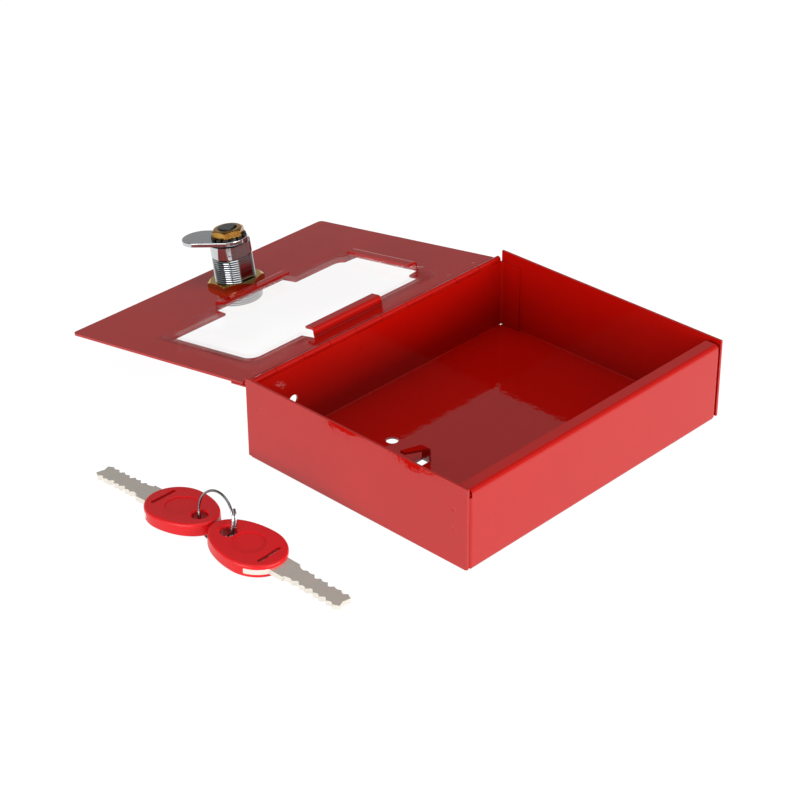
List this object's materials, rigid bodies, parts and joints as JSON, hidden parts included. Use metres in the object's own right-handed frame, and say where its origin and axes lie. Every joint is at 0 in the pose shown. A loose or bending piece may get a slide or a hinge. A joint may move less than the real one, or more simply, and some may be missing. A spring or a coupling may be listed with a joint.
{
  "type": "break glass key box",
  "caption": "Shallow folded-steel key box with a hinged lid, a glazed window held by folded clips, a cam lock, a key hook, and its keys on a split ring.",
  "frame": {"origin": "centre of the back plate's outer face, which goes against the wall", "axes": "+Z out of the back plate into the box, +X along the hinge, +Y towards the hinge wall"},
  "size_m": [0.2129, 0.2309, 0.0437],
  "materials": {
    "red_enamel": "glossy red enamel on folded steel",
    "clear_glass": "clear drawn glass",
    "chrome_plate": "chrome plate on a die casting",
    "yellow_zinc": "yellow zinc plate",
    "lock_steel": "turned steel",
    "brass": "turned brass",
    "dark_steel": "blackened spring steel",
    "ring_steel": "drawn steel wire",
    "nickel_silver": "stamped nickel silver with milled cuts",
    "red_plastic": "moulded red plastic"
  },
  "bodies": {
    "box": {"box_shell": "red_enamel", "hinge_leaf_box": "red_enamel", "hinge_pin": "red_enamel"},
    "lid": {"lid_panel": "red_enamel", "hinge_leaf_lid": "red_enamel", "glass_pane": "clear_glass", "lock_housing": "chrome_plate", "lock_mounting_nut": "yellow_zinc"},
    "lock_core": {"lock_plug": "lock_steel", "lock_wafers": "brass", "wafer_springs": "lock_steel", "plug_retainer": "brass", "stop_washer": "chrome_plate", "lock_cam": "chrome_plate", "toothed_washer": "dark_steel", "cam_nut": "brass"},
    "key_ring": {"split_ring": "ring_steel"},
    "key_1": {"key_1_blade": "nickel_silver", "key_1_head": "red_plastic"},
    "key_2": {"key_2_blade": "nickel_silver", "key_2_head": "red_plastic"}
  },
  "joints": [
    {"name": "lid_hinge", "type": "hinge", "parent": "box", "child": "lid", "pos_m": [0, 0.0601, 0.0322], "axis": [1, 0, 0], "range_deg": [-4, 189.75]},
    {"name": "lock_turn", "type": "hinge", "parent": "lid", "child": "lock_core", "pos_m": [0.0006, 0.14837, 0.01738], "axis": [0, 0.1693, 0.9856], "range_deg": [-26, 64]},
    {"name": "ring_lift", "type": "slide", "parent": "box", "child": "key_ring", "axis": [0, 0, 1], "range_m": [0, 0.1]},
    {"name": "key_1_swing", "type": "hinge", "parent": "key_ring", "child": "key_1", "pos_m": [-0.1247, 0.0331, 0.00489], "axis": [0, 0, 1], "range_deg": [-15, 15]},
    {"name": "key_2_swing", "type": "hinge", "parent": "key_ring", "child": "key_2", "pos_m": [-0.1248, 0.0174, 0.00489], "axis": [0, 0, 1], "range_deg": [-15, 15]}
  ]
}
